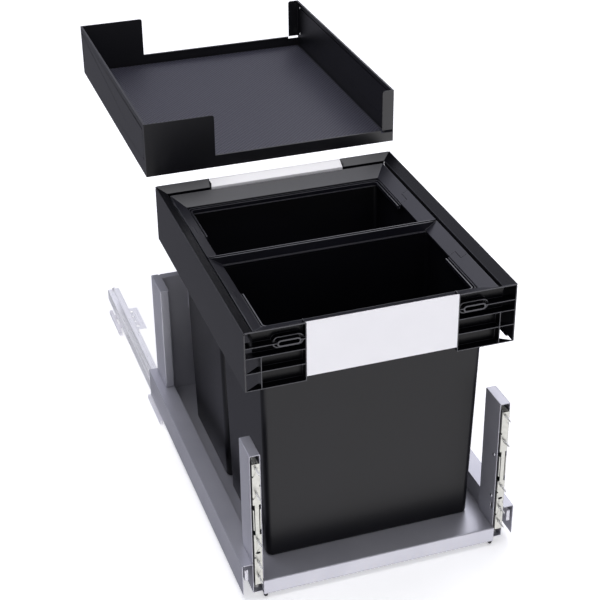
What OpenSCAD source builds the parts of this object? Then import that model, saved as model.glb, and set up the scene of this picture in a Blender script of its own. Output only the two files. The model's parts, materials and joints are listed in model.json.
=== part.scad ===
// Pull-out waste unit for a 450 mm base cabinet: two bins in a collar frame on a steel tray,
// ball-bearing runners fixed in the cabinet, and an organiser shelf above the closed unit.
// Shown pulled out. X points right, Y into the cabinet, Z up; z = 0 is the cabinet floor.
// The origin lies midway between the rear pair of floor brackets.

/* [Travel] */
// Distance that the unit is pulled out in the pose shown
pull_out = 380; // [340:5:400]
// Further travel, from the pose shown to the runners' end stop
extra_travel = 90; // [60:5:95]
// Distance from the collar's front face to the middle of the rear floor brackets
bracket_y = 801; // [790:1:812]

/* [Collar] */
// Overall width of the collar
collar_w = 378; // [360:1:384]
// Depth of the collar
collar_d = 455; // [440:1:470]
// Height of the collar's skirt
collar_h = 88; // [80:1:96]
// Height of the skirt's lower edge above the cabinet floor
collar_z = 340; // [336:1:350]
// Width of the sloping top ring
ring_w = 14.5; // [12:0.5:16]
// Drop of the top ring from its outer to its inner edge
ring_drop = 8; // [5:0.5:10]
// Wall of the collar mouldings
collar_wall = 1.8; // [1.6:0.1:3]
// Width of the white crossbars
crossbar_w = 211; // [180:1:230]
// Height of the crossbars' face
crossbar_h = 81; // [70:1:86]
// Length of the screw slot in a front corner
slot_l = 28; // [20:1:32]
// Width of the screw slot
slot_w = 5.5; // [4:0.1:7]

/* [Bins] */
// Width of a bin at its rim, over the body
bin_w = 314; // [300:1:320]
// Width of a bin at its base
bin_base_w = 302; // [280:1:306]
// Wall of a bin
bin_wall = 2.2; // [1.8:0.1:3]
// Distance of a bin's rim below the collar's upper edge
rim_drop = 25; // [24:1:32]
// Gap between the bins, and between the bag frames, at the middle of the collar
bin_gap = 4; // [3:0.5:8]
// Width of a bag frame's sloping ring along the sides
frame_w = 18.5; // [14:0.5:20]
// Width of a bag frame's ring at its outer end
frame_end_w = 26; // [20:0.5:30]
// Thickness of a bag frame's upright wall beside the other bin
frame_mid_w = 2.8; // [2.4:0.2:4]
// Drop of a bag frame's ring
frame_drop = 11; // [8:0.5:12]

/* [Tray] */
// Half width over the rail covers
cover_x = 204; // [203:0.5:206]
// Length of a rail cover
cover_l = 532; // [520:1:540]
// Height of the covers' top above the cabinet floor
cover_z = 64; // [62:0.5:68]
// Half width of the tray between its side walls
tray_x = 177; // [175:0.5:178]
// Height of the tray floor above the cabinet floor
floor_z = 32; // [30:0.5:36]
// Lower edge of the tray's front lip
lip_z = 8; // [6:0.5:12]
// Thickness of the steel sheet
sheet = 1.2; // [1:0.1:1.4]

/* [Uprights] */
// Height of the front uprights and of the rear wall above the cabinet floor
post_z = 243; // [220:1:260]
// Width of a front upright
upright_w = 15.5; // [15:0.5:16]
// Depth of a front upright
upright_d = 47; // [40:1:52]
// Width of a rear post
rear_post_w = 14; // [12:0.5:16]
// Depth of a rear post
rear_post_d = 58; // [50:1:64]

/* [Runners] */
// Length of a cabinet rail
rail_l = 464; // [450:1:470]
// Height of the cabinet rail's top above the cabinet floor
rail_z = 60; // [59:0.5:61]
// Diameter of the runner balls
ball_d = 2.9; // [2.8:0.05:2.95]
// Height of the ball races
race_h = 3; // [3:0.1:3.2]

/* [Shelf] */
// Width of the shelf tray
shelf_w = 398; // [380:1:404]
// Depth of the shelf tray
shelf_d = 463; // [440:1:470]
// Height of the shelf's tall walls
shelf_h = 85; // [70:1:100]
// Height of the shelf's low front and rear walls
shelf_low_h = 19.5; // [12:0.5:30]
// Height of the shelf's underside above the cabinet floor
shelf_z = 440; // [438:1:460]
// Length of the shelf's wide corner flanges, on the left
flange_wide = 108.5; // [60:0.5:130]
// Length of the shelf's narrow corner flanges, on the right
flange_narrow = 19; // [12:0.5:40]

/* [Front brackets] */
// Height adjustment of a front bracket, up and down from the middle
adjust = 2; // [1:0.5:3]
// Radius of the adjuster bolt
bolt_r = 3; // [2.5:0.1:3]
// Length that a panel screw stands out of its bracket
screw_l = 17; // [12:1:20]

/* [Hidden] */
e = 0.01;
move_gap = 0.3;      // clearance between pieces that move past each other
run_gap = 0.06;      // radial clearance of a turning or running fit
$fn = 48;

// Places along Y are counted from the collar's front face, then moved to the origin
back_y = bracket_y;
collar_x = collar_w / 2;
collar_top = collar_z + collar_h;
mid_y = collar_d / 2;
ring_in_x = collar_x - ring_w;
ring_in_z = collar_top - ring_drop;
rim_z = collar_top - rim_drop;

// Moves a piece from collar places to the origin
module place() translate([0, -back_y, 0]) children();
// A left piece is the mirror of the right one
module left() mirror([1, 0, 0]) children();
// Pieces at the rear of the collar mirror those at the front
module rear() translate([0, collar_d, 0]) mirror([0, 1, 0]) children();

// A flat outline in X and Z, drawn along Y from y0 to y1
module along_y(y0, y1) translate([0, y1, 0]) rotate([90, 0, 0]) linear_extrude(y1 - y0) children();
// A flat outline in Y and Z, drawn along X from x0 to x1
module along_x(x0, x1) translate([x0, 0, 0]) rotate([90, 0, 90]) linear_extrude(x1 - x0) children();
// A box between two corners
module span(a, b) translate(a) cube(b - a);
// A flat rectangle between two corners
module rect(a, b) translate(a) square(b - a);
// A rectangle with round corners between two corners
module soft_rect(a, b, r) {
    translate([a.x + r, a.y]) square([b.x - a.x - 2 * r, b.y - a.y]);
    translate([a.x, a.y + r]) square([b.x - a.x, b.y - a.y - 2 * r]);
    for (x = [a.x + r, b.x - r], y = [a.y + r, b.y - r]) translate([x, y]) circle(r);
}
// A slot with round ends along the first axis, centred on the origin
module stadium(l, w) {
    square([l - w, w], center = true);
    for (s = [-1, 1]) translate([s * (l - w) / 2, 0]) circle(w / 2);
}

// Front face of the lip, where a front panel seats, and the faces behind it
panel_y = -9;
cover_y = panel_y + 2;
upright_y = panel_y + 4;
upright_in = tray_x - 4;
upright_out = upright_in + upright_w;
upright_back = upright_y + upright_d;
cover_end = cover_y + cover_l;
rear_wall_y = cover_end - 20;

/* Shelf */
shelf_y = 465;
shelf_x = shelf_w / 2;
hem = 3.2;
shelf_top = shelf_z + shelf_h;
flange_r = 4;
slit_h = 4;
mat_t = 1.5;

// Corner flange standing on the front edge, from the side wall inwards, with one round corner
module shelf_flange(l, z0) along_y(0, sheet) difference() {
    rect([0, z0], [l, shelf_top]);
    difference() {
        rect([l - flange_r, shelf_top - flange_r], [l + e, shelf_top + e]);
        translate([l - flange_r, shelf_top - flange_r]) circle(flange_r);
    }
}

module shelf_end() {
    // Low wall between the flanges, with a rolled top; it stops short of the narrow flange
    low_end = shelf_x - flange_narrow - 1;
    low_top = shelf_z + shelf_low_h;
    span([-shelf_x, 0, shelf_z], [low_end, sheet, low_top]);
    span([-shelf_x + flange_wide, 0, low_top - sheet], [low_end, hem, low_top]);
    span([low_end - e, 0, shelf_z], [shelf_x, sheet, low_top - slit_h]);
    translate([-shelf_x, 0, 0]) shelf_flange(flange_wide, shelf_z);
    translate([shelf_x, 0, 0]) mirror([1, 0, 0])
        shelf_flange(flange_narrow, low_top);
}

module shelf_tray() color("#1f1f23") place() translate([0, shelf_y, 0]) difference() {
    union() {
        span([-shelf_x, 0, shelf_z], [shelf_x, shelf_d, shelf_z + sheet]);
        for (s = [-1, 1]) {
            span([s > 0 ? shelf_x - sheet : -shelf_x, 0, shelf_z],
                 [s > 0 ? shelf_x : -shelf_x + sheet, shelf_d, shelf_top]);
            span([s > 0 ? shelf_x - hem : -shelf_x, 0, shelf_top - sheet],
                 [s > 0 ? shelf_x : -shelf_x + hem, shelf_d, shelf_top]);
        }
        shelf_end();
        translate([0, shelf_d, 0]) mirror([0, 1, 0]) shelf_end();
    }
    for (y = shelf_hole_y, z = shelf_hole_z)
        translate([0, y, z]) rotate([0, 90, 0]) cylinder(r = shelf_hole_r, h = shelf_w + 2, center = true);
}
shelf_hole_r = 2.25;
shelf_hole_y = [11, shelf_d - 11];
shelf_hole_z = [shelf_z + 26, shelf_z + 26 + 48];

module shelf_mat() color("#2c2c33") place() translate([0, shelf_y, shelf_z + sheet])
    linear_extrude(mat_t) soft_rect([-shelf_x + 4, 5], [shelf_x - 4, shelf_d - 5], 4);

/* Runners, drawn for the right side */
rail_in = 189;                       // inner face of the cabinet rail's web
rail_sheet = 1.2;
rail_out = cover_x - sheet - 1.5;    // outer face of the cabinet rail
rail_y0 = pull_out + 24;
rail_y1 = rail_y0 + rail_l;
rail_notch = 46;                     // the top flange stops this far short of the rear end
rail_low_z = 13;
ledge_z = 33.5;                      // top of the lower box, which is the lower race
race_top = rail_z - rail_sheet;
mid_sheet = 1.2;
mid_z1 = race_top - race_h;
mid_z0 = ledge_z + race_h;
mid_x0 = rail_in + rail_sheet + 1.3;
mid_x1 = mid_x0 + 7;
in_z1 = mid_z1 - mid_sheet - race_h;
in_z0 = mid_z0 + mid_sheet + race_h;
mid_l = 454;
mid_y0 = rail_y0 + 2 - pull_out / 2;
mid_y1 = mid_y0 + mid_l;
drawer_y0 = 24;
drawer_y1 = drawer_y0 + mid_l + 12;
cover_in = cover_x - sheet;
drawer_x0 = mid_x0 + mid_sheet + 1.3;

module cabinet_rail() color("#d9dade") place() {
    difference() {
        along_y(rail_y0, rail_y1) difference() {
            union() {
                rect([rail_in, rail_low_z], [rail_in + rail_sheet, rail_z]);
                rect([rail_in, rail_low_z], [rail_out, ledge_z]);
                rect([rail_in, race_top], [rail_in + 10, rail_z]);
            }
            rect([rail_in + rail_sheet, rail_low_z + rail_sheet], [rail_out - rail_sheet, ledge_z - rail_sheet]);
        }
        // The upper part is cut back at the rear
        span([rail_in - e, rail_y1 - rail_notch, ledge_z + 4], [rail_out, rail_y1 + e, rail_z + e]);
    }
    // Tab on the lower box that stops the middle rail
    span([rail_in, rail_y1 - 5, ledge_z], [drawer_x0 - move_gap, rail_y1 - 5 + sheet, mid_z0 + 2]);
}

// Height of the floor plate and the places of its holes
plate_t = 1.5;
bracket_l = 80;
bracket_w = 33;
front_bracket_y = rail_y0 + 91;
hole_rows = [-27, -9, 9, 27];
floor_hole_r = 2.6;
floor_slot_l = 11;
riser_x = rail_in - plate_t;
floor_hole_x = riser_x - 18;
module floor_bracket() {
    difference() {
        span([riser_x - bracket_w, -bracket_l / 2, 0], [rail_in, bracket_l / 2, plate_t]);
        translate([floor_hole_x, 0, -e]) linear_extrude(plate_t + 1) {
            for (y = hole_rows) translate([0, y])
                if (y == hole_rows[0] || y == hole_rows[3]) stadium(floor_slot_l, 2 * floor_hole_r);
                else circle(floor_hole_r);
            translate([9, -19]) circle(1.6);
        }
    }
    span([riser_x, -bracket_l / 2, 0], [rail_in, bracket_l / 2, ledge_z - 6]);
    // Foot under the rail's lower box
    span([rail_in - e, -bracket_l / 2, 0], [rail_in + 6, bracket_l / 2, plate_t]);
}
module floor_brackets() color("#dfe0e6") place() {
    translate([0, bracket_y, 0]) floor_bracket();
    translate([0, front_bracket_y, 0]) floor_bracket();
}

// White spacer: a rod with round ends beside the rail, on an arm that lies under the rail
spacer_l = 86;
spacer_x = 209;                       // bears on the cabinet side
spacer_t = 6;
spacer_y = [bracket_y - 17, front_bracket_y - 9];
module side_spacer() {
    translate([0, 0, rail_low_z - 6]) rotate([0, 0, 90]) linear_extrude(6) translate([0, -(spacer_x - spacer_t / 2)])
        stadium(spacer_l, spacer_t);
    for (y = [-18, 18]) span([rail_in + 8, y - 6, rail_low_z - 3], [spacer_x - spacer_t / 2, y + 6, rail_low_z]);
}
module side_spacers() color("#eceae6") place() for (y = spacer_y) translate([0, y, 0]) side_spacer();

module middle_rail() color("#c9cbd0") place() along_y(mid_y0, mid_y1) {
    rect([mid_x0, mid_z0], [mid_x0 + mid_sheet, mid_z1]);
    rect([mid_x0, mid_z1 - mid_sheet], [mid_x1, mid_z1]);
    rect([mid_x0, mid_z0], [mid_x1, mid_z0 + mid_sheet]);
}
module drawer_rail() color("#c9cbd0") place() along_y(drawer_y0, drawer_y1) {
    rect([cover_in - mid_sheet, in_z0], [cover_in, in_z1]);
    rect([drawer_x0, in_z1 - mid_sheet], [cover_in, in_z1]);
    rect([drawer_x0, in_z0], [cover_in, in_z0 + mid_sheet]);
}

// A cage: a thin strip with balls through it, above and below; race heights z0 and z1
cage_t = 0.8;
cage_w = 4;
outer_cage_l = 210;
inner_cage_l = 220;
outer_cage_y = [rail_y0 + extra_travel / 4 + 3, rail_y0 + extra_travel / 4 + 3 + outer_cage_l];
inner_cage_y = [mid_y0 + extra_travel / 4 + 3, mid_y0 + extra_travel / 4 + 3 + inner_cage_l];
module cage(y, z0, z1, x) {
    balls = 7;
    for (z = [z0, z1]) {
        span([x - cage_w / 2, y[0], z - cage_t / 2], [x + cage_w / 2, y[1], z + cage_t / 2]);
        for (i = [0:balls - 1]) translate([x, y[0] + 6 + i * (y[1] - y[0] - 12) / (balls - 1), z])
            sphere(d = ball_d, $fn = 24);
    }
}
// The cages' two strips are tied by a cross strip at each end
module outer_cage() color("#b9b9bd") place() {
    x = mid_x0 + 4;
    cage(outer_cage_y, ledge_z + race_h / 2, race_top - race_h / 2, x);
    for (y = outer_cage_y) span([mid_x0 - 0.9, y - 1, ledge_z + race_h / 2 - cage_t / 2],
        [mid_x0 - 0.4, y + 1, race_top - race_h / 2 + cage_t / 2]);
    for (y = outer_cage_y, z = [ledge_z + race_h / 2, race_top - race_h / 2])
        span([mid_x0 - 0.9, y - 1, z - cage_t / 2], [x, y + 1, z + cage_t / 2]);
}
module inner_cage() color("#b9b9bd") place() {
    x = drawer_x0 + 2.4;
    z0 = in_z0 - race_h / 2;
    z1 = in_z1 + race_h / 2;
    cage(inner_cage_y, z0, z1, x);
    for (y = inner_cage_y) span([drawer_x0 - 0.9, y - 1, z0 - cage_t / 2],
        [drawer_x0 - 0.4, y + 1, z1 + cage_t / 2]);
    for (y = inner_cage_y, z = [z0, z1])
        span([drawer_x0 - 0.9, y - 1, z - cage_t / 2], [x, y + 1, z + cage_t / 2]);
}

/* Tray and covers */
wall_top = cover_z - sheet;
lip_x = upright_in + sheet;
foot_h = 5;
foot_r = 3.2;
module base_tray() color("#9a9aa2") place() {
    // Floor, front lip with its return, and the side walls
    span([-tray_x - sheet, upright_back, floor_z - sheet], [tray_x + sheet, rear_wall_y + sheet, floor_z]);
    span([-upright_in, upright_y - e, floor_z - sheet], [upright_in, upright_back + e, floor_z]);
    span([-lip_x, panel_y, floor_z - sheet], [lip_x, upright_y, floor_z]);
    span([-lip_x, panel_y, lip_z], [lip_x, panel_y + sheet, floor_z]);
    span([-lip_x, panel_y, lip_z], [lip_x, panel_y + 12, lip_z + sheet]);
    for (s = [-1, 1]) span([s > 0 ? tray_x : -tray_x - sheet, upright_back, floor_z - sheet],
        [s > 0 ? tray_x + sheet : -tray_x, cover_end - 2, wall_top]);
}
module tray_feet() color("#17171a") place() for (s = [-1, 1])
    translate([s * (lip_x - foot_r - 0.5), panel_y + foot_r + 1, lip_z - foot_h]) {
        cylinder(r = foot_r - 0.5, h = 1.5);
        translate([0, 0, 1.5]) cylinder(r = foot_r, h = foot_h - 1.5);
    }

module rail_cover() color("#8f8f94") place() {
    along_y(cover_y, cover_end) {
        rect([cover_in, rail_low_z + 1], [cover_x, cover_z]);
        rect([upright_out, wall_top], [cover_x, cover_z]);
    }
    span([tray_x, upright_back, wall_top], [cover_x, cover_end, cover_z]);
}

// Rear wall: a panel set back between two posts
post_in = tray_x;
post_y0 = cover_end - 6 - rear_post_d;
post_y1 = post_y0 + rear_post_d;
module rear_post() color("#97979c") place() difference() {
    span([post_in, post_y0, cover_z], [post_in + rear_post_w, post_y1, post_z]);
    span([post_in + sheet, post_y0 + sheet, cover_z + sheet],
         [post_in + rear_post_w - sheet, post_y1 + e, post_z - sheet]);
    // Relief of the bend in the top flange
    span([post_in - e, post_y1 - 3, post_z - 3], [post_in + 3, post_y1 + e, post_z + e]);
}
panel_hem = 12;
bead_l = 260;
bead_r = 1.6;
bead_z = [95, 170];
module rear_panel() color("#8d8d92") place() {
    span([-post_in, rear_wall_y, floor_z], [post_in, rear_wall_y + sheet, post_z]);
    span([-post_in, rear_wall_y, post_z - sheet], [post_in, post_y1, post_z]);
    span([-post_in, post_y1 - sheet, post_z - panel_hem], [post_in, post_y1, post_z]);
    // Two stiffening beads
    for (z = bead_z) translate([0, rear_wall_y - bead_r / 2, z]) rotate([0, 90, 0])
        cylinder(r = bead_r, h = bead_l, center = true);
}

/* Front uprights */
bolt_x = upright_in + upright_w / 2;
bolt_y = upright_y + 12;
bolt_head_z = 5;
upright_z0 = 12;
module front_upright() color("#8d8d93") place() difference() {
    span([upright_in, upright_y, upright_z0], [upright_out, upright_back, post_z]);
    span([upright_in + sheet, upright_y - e, upright_z0 + sheet],
         [upright_out - sheet, upright_back - sheet, post_z - sheet]);
    translate([bolt_x, bolt_y, upright_z0 - 1]) cylinder(r = bolt_r + run_gap, h = 4);
    // Window over the bracket's clamp, in the inner side
    along_x(upright_in - 1, upright_in + sheet + 0.5) translate([upright_y + 7, 65]) rotate(90) stadium(11, 6);
}
rivet_z = [82, 154];
module upright_rivets() color("#c7c7cb") place() for (s = [-1, 1], z = rivet_z)
    translate([s * upright_in, upright_y + 9, z]) rotate([0, -90 * s, 0]) {
        cylinder(r = 2.6, h = 0.8);
        translate([0, 0, 0.8]) cylinder(r1 = 2.6, r2 = 1.2, h = 0.9);
    }

/* Front-panel brackets */
plate_y = panel_y;
bracket_in = upright_in + 2.2;
bracket_out = upright_out - 2.2;
bracket_t = 1.6;
bracket_zone = [29, 115, 165, 232];   // foot, waist, shoulder and head of the bracket
side_depth = 26;
nut_z = 31;
nut_h = 7.5;
module bracket_sides(z0, z1, d) for (x = [bracket_in, bracket_out - bracket_t])
    span([x, plate_y, z0], [x + bracket_t, plate_y + d, z1]);
module panel_bracket() color("#d6d6d0") place() difference() {
    union() {
        // Lower plate, narrow waist and upper plate, with their side flanges
        span([bracket_in, plate_y, bracket_zone[0]], [bracket_out, plate_y + bracket_t, bracket_zone[1]]);
        span([bracket_in + 2.6, plate_y, bracket_zone[1] - e], [bracket_out - 2.6, plate_y + bracket_t, bracket_zone[2] + e]);
        span([bracket_in, plate_y, bracket_zone[2]], [bracket_out, plate_y + bracket_t, bracket_zone[3]]);
        bracket_sides(bracket_zone[0], bracket_zone[1], side_depth);
        bracket_sides(bracket_zone[1] + 8, bracket_zone[2] - 8, side_depth - 8);
        for (x = [bracket_in, bracket_out - bracket_t])
            span([x, plate_y + side_depth - 12, bracket_zone[1] - e], [x + bracket_t, plate_y + side_depth - 8, bracket_zone[2] + e]);
        bracket_sides(bracket_zone[2], bracket_zone[3], side_depth);
        // Nut block that the adjuster bolt runs through
        span([bracket_in, plate_y, nut_z], [bracket_out, bolt_y + 5, nut_z + nut_h]);
    }
    translate([bolt_x, bolt_y, nut_z - 1]) cylinder(r = bolt_r + run_gap, h = nut_h + 2);
    for (z = screw_z) translate([bolt_x, plate_y - 1, z]) rotate([-90, 0, 0]) cylinder(r = screw_r + screw_gap, h = bracket_t + 2);
    translate([bolt_x, plate_y - 1, 84]) rotate([-90, 0, 0]) linear_extrude(bracket_t + 2) stadium(6, 3.2);
    // Notches for the clamp's cams, by turns in the two edges of the plates
    for (i = [0:len(notch_z) - 1]) translate([i % 2 == 0 ? bracket_in : bracket_out, plate_y - e, notch_z[i]])
        rotate([-90, 0, 0]) cylinder(r = notch_r, h = 6);
}
notch_z = [56, 76, 95, 176, 196, 212];
notch_r = 1.5;
screw_z = [43, 68, 106, 184, 225];
screw_r = 1.9;
screw_gap = 0.15;
neck_r = 1.5;
thread_z = bracket_t + 0.5;          // the thread begins half a millimetre in front of the plate
module panel_screws() color("#d9d9d4") place() for (z = screw_z)
    translate([bolt_x, plate_y + bracket_t, z]) rotate([90, 0, 0]) {
        translate([0, 0, -1.6]) cylinder(r = 3.8, h = 1.6);
        cylinder(r = neck_r, h = thread_z + e);
        translate([0, 0, thread_z]) cylinder(r = screw_r, h = screw_l + bracket_t - 4 - thread_z);
        translate([0, 0, screw_l + bracket_t - 4]) cylinder(r1 = screw_r, r2 = 0.4, h = 4);
    }
module bracket_clip() color("#bdbdbb") place() difference() {
    span([bracket_in + bracket_t, plate_y + 4, bracket_zone[3] - 16], [bracket_out - bracket_t, plate_y + 20, bracket_zone[3]]);
    span([bracket_in + bracket_t + 1.2, plate_y + 3, bracket_zone[3] - 6], [bracket_out - bracket_t - 1.2, plate_y + 17, bracket_zone[3] + e]);
    translate([bolt_x, plate_y + 3, bracket_zone[3] - 9]) rotate([-90, 0, 0]) cylinder(r = 3.8 + run_gap, h = 4);
}
module adjuster_bolt() color("#e2e2df") place() translate([bolt_x, bolt_y, 0]) {
    translate([0, 0, bolt_head_z]) difference() {
        cylinder(r = 5, h = 4.5, $fn = 6);
        translate([0, 0, -e]) linear_extrude(1.5) {
            square([7, 1.4], center = true);
            square([1.4, 7], center = true);
        }
    }
    translate([0, 0, bolt_head_z + 4.5 - e]) cylinder(r = bolt_r, h = 46);
    translate([0, 0, upright_z0 + sheet + move_gap]) cylinder(r = 4.6, h = 2);
}

/* Release levers at the runners' front ends */
lever_y = 17;
lever_x = cover_in - 5.2;
lever_r = 2;
lever_z = [36.6, 54.5];
module latch_housing() color("#8b8b90") place() {
    span([cover_in - 9.5, lever_y - 5, lever_z[1] + move_gap], [cover_in, lever_y + 6, lever_z[1] + 2.2]);
    span([cover_in - 9.5, lever_y - 5, lever_z[0] - 2.2], [cover_in, lever_y + 6, lever_z[0] - move_gap]);
    span([cover_in - 1.5, lever_y - 5, lever_z[0] - 2.2], [cover_in, lever_y + 6, lever_z[1] + 2.2]);
    translate([lever_x, lever_y, lever_z[0] - 1]) cylinder(r = lever_r, h = lever_z[1] - lever_z[0] + 2);
}
module release_lever() color("#dcdad4") place() difference() {
    union() {
        translate([lever_x, lever_y, lever_z[0]]) cylinder(r = 3.4, h = lever_z[1] - lever_z[0]);
        span([lever_x, cover_y + 2, lever_z[0]], [lever_x + 2.4, lever_y, lever_z[1]]);
        span([lever_x - 2.5, cover_y + 2, lever_z[0]], [lever_x + 2.4, cover_y + 4, lever_z[1]]);
    }
    translate([lever_x, lever_y, lever_z[0] - 1]) cylinder(r = lever_r + run_gap, h = lever_z[1] - lever_z[0] + 2);
}

/* Collar */
corner_w = (collar_w - crossbar_w) / 2;
side_in = collar_x - collar_wall;
// Outline of the sloping ring across its width; u runs inwards from the outer face
module ring_outline(w, t) polygon([[0, collar_top - t], [0, collar_top], [w, ring_in_z], [w, ring_in_z - t]]);
// A wedge that ends the side ring at its mitre
module mitre() for (k = [0, 1]) translate([0, k * collar_d, 0]) mirror([0, k, 0])
    translate([0, 0, collar_z - 1]) linear_extrude(collar_h + 2)
        polygon([[side_in, -1], [side_in, collar_wall], [collar_x - ring_w - 1, ring_w + 1], [collar_x - ring_w - 1, -1]]);
module collar_side() color("#3a3a3e") place() {
    span([side_in, 0, collar_z], [collar_x, collar_d, collar_top - 3]);
    difference() {
        along_y(0, collar_d) translate([collar_x, 0]) mirror([1, 0]) ring_outline(ring_w, collar_wall);
        mitre();
    }
    // Lip that hangs from the ring's inner edge
    along_y(ring_w, collar_d - ring_w) rect([ring_in_x, ring_in_z - 7], [ring_in_x + 1.8, ring_in_z - 1]);
    // Rib along the inside of the skirt
    along_y(ring_w, collar_d - ring_w) rect([side_in - 3, collar_z], [side_in, collar_z + 2]);
}

corner_depth = ring_w;
rib_t = 1.3;
rib_share = [0.27, 0.445, 0.70];
boss_l = slot_l + 15;
boss_w = slot_w + 11;
boss_x = collar_x - corner_w + boss_l / 2 + 1.5;
boss_z = collar_top - collar_h * rib_share[0] - 1;
cell_x = collar_x - 0.27 * corner_w;
web_y = corner_depth - collar_wall;
boss_set = 4.5;                      // the boss is set back by this, behind the rim round the slot
rim_w = 2.2;
// Shelf rib of a corner; where it is open behind, it tapers to the skirt as a gusset
module shelf_rib(x0, z, open) translate([0, 0, z]) linear_extrude(rib_t)
    if (open) polygon([[x0, 0], [side_in, 0], [side_in, 1], [cell_x, corner_depth], [x0, corner_depth]]);
    else rect([x0, 0], [side_in, corner_depth]);
module corner() {
    x0 = collar_x - corner_w;
    difference() {
        union() {
            // Top ring of the corner, cut to the mitre of the side ring
            difference() {
                along_x(x0, side_in) ring_outline(ring_w, collar_wall);
                translate([0, 0, collar_z - 1]) linear_extrude(collar_h + 2)
                    polygon([[side_in + 1, collar_wall - 1], [side_in, collar_wall], [ring_in_x, ring_w], [ring_in_x, ring_w + 1],
                             [side_in + 1, ring_w + 1]]);
            }
            // Back web, ribs and end walls
            span([x0, web_y, collar_z + collar_h * 0.555], [ring_in_x, corner_depth, ring_in_z - 1]);
            span([x0, web_y, collar_z], [cell_x, corner_depth, ring_in_z - 1]);
            for (s = rib_share) shelf_rib(x0, collar_top - s * collar_h - rib_t / 2, s > rib_share[1]);
            shelf_rib(x0, collar_z, true);
            span([x0, 0, collar_z], [x0 + rib_t, corner_depth, collar_top - 2]);
            span([cell_x - rib_t / 2, 0, collar_z], [cell_x + rib_t / 2, corner_depth, collar_top - rib_share[1] * collar_h]);
            // Boss round the screw slot
            translate([boss_x, boss_set, boss_z]) rotate([-90, 0, 0]) linear_extrude(corner_depth - boss_set) stadium(boss_l, boss_w);
            translate([boss_x, 0, boss_z]) rotate([-90, 0, 0]) linear_extrude(corner_depth)
                stadium(slot_l + 2 * rim_w, slot_w + 2 * rim_w);
            // Tongue behind the crossbar
            span([x0 - 14, sheet + 0.8, collar_z + 16], [x0 + e, sheet + 2.6, collar_top - 14]);
            span([x0 - 14, sheet + 0.8, collar_z + 16], [x0 - 12, 6, collar_top - 20]);
        }
        // Recess of the boss and the slot through it
        translate([boss_x, boss_set - e, boss_z]) rotate([-90, 0, 0]) linear_extrude(5) difference() {
            stadium(boss_l - 3.4, boss_w - 3.4);
            stadium(slot_l + 2 * rim_w, slot_w + 2 * rim_w);
        }
        translate([boss_x, -1, boss_z]) rotate([-90, 0, 0]) linear_extrude(corner_depth + 2) stadium(slot_l, slot_w);
        // Holes for the crossbar screws
        for (z = collar_screw_z) translate([x0 - collar_screw_in, -1, z]) rotate([-90, 0, 0])
            cylinder(r = collar_screw_r + screw_gap, h = 8);
    }
}
collar_screw_r = 1.6;
collar_screw_in = 7;                 // distance of the screws from a crossbar's ends
collar_screw_z = [collar_z + 26, collar_top - 26];
module crossbar() {
    x = crossbar_w / 2;
    difference() {
        union() {
            span([-x, 0, collar_top - crossbar_h], [x, sheet + 0.8, collar_top - 1]);
            along_x(-x, x) ring_outline(ring_w, sheet + 0.8);
            span([-x, ring_w - 1.5, ring_in_z - 8], [x, ring_w, ring_in_z - 1]);
        }
        for (s = [-1, 1], z = collar_screw_z) translate([s * (x - collar_screw_in), sheet - 0.8, z]) rotate([-90, 0, 0])
            cylinder(r = collar_screw_r + screw_gap, h = 4);
    }
}
module collar_screw() {
    translate([0, sheet - 0.7, 0]) rotate([-90, 0, 0]) cylinder(r = collar_screw_r, h = 3.4);
    translate([0, sheet + 2.6, 0]) rotate([-90, 0, 0]) cylinder(r1 = 2 * collar_screw_r, r2 = 1.5 * collar_screw_r, h = 2);
}
module collar_screws() color("#a8a8ac") place() for (z = collar_screw_z, s = [-1, 1]) {
    translate([s * (crossbar_w / 2 - collar_screw_in), 0, z]) collar_screw();
    rear() translate([s * (crossbar_w / 2 - collar_screw_in), 0, z]) collar_screw();
}

// Strap from the rear panel up to the collar's rear corner
stay_x = 112;
stay_w = 24;
stay_t = 2;
stay_lap = 46;                       // height over which the stay lies on the collar
stay_foot = 52;                      // and on the rear panel
stay_z = [post_z - 11 - stay_foot, post_z - 11, collar_z + 4, collar_z + 4 + stay_lap];
module collar_stay() color("#8d8d92") place() along_x(stay_x, stay_x + stay_w) polygon([
    [rear_wall_y - stay_t, stay_z[0]], [rear_wall_y, stay_z[0]],
    [rear_wall_y, stay_z[1] - 1], [collar_d + stay_t, stay_z[2]], [collar_d + stay_t, stay_z[3]],
    [collar_d, stay_z[3]], [collar_d, stay_z[2] - 1], [rear_wall_y - stay_t, stay_z[1] - 2]]);

/* Bins and their bag frames; a frame is drawn for the front bin */
frame_out_x = ring_in_x - 3.4;
frame_out_z = ring_in_z - 2.5;
frame_in_x = frame_out_x - frame_w;
frame_in_z = frame_out_z - frame_drop;
frame_y0 = ring_w + 2.8;
frame_y1 = mid_y - bin_gap / 2 + 0.5;
frame_t = 2;
rim_x = frame_out_x - frame_t - 1.2;
rim_y0 = frame_y0 + frame_t + 1.2;
rim_y1 = frame_y1 - frame_t - 1.2;
rim_t = 2.4;
// The bin's body at its rim and at its base
bin_top = [[-bin_w / 2, 31], [bin_w / 2, mid_y - 6]];
bin_base = [[-bin_base_w / 2, 41], [bin_base_w / 2, mid_y - 12]];
base_z = floor_z + move_gap;
bin_r = 7;
bin_foot = 4;                        // rounding of the bin's lower edge
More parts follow.
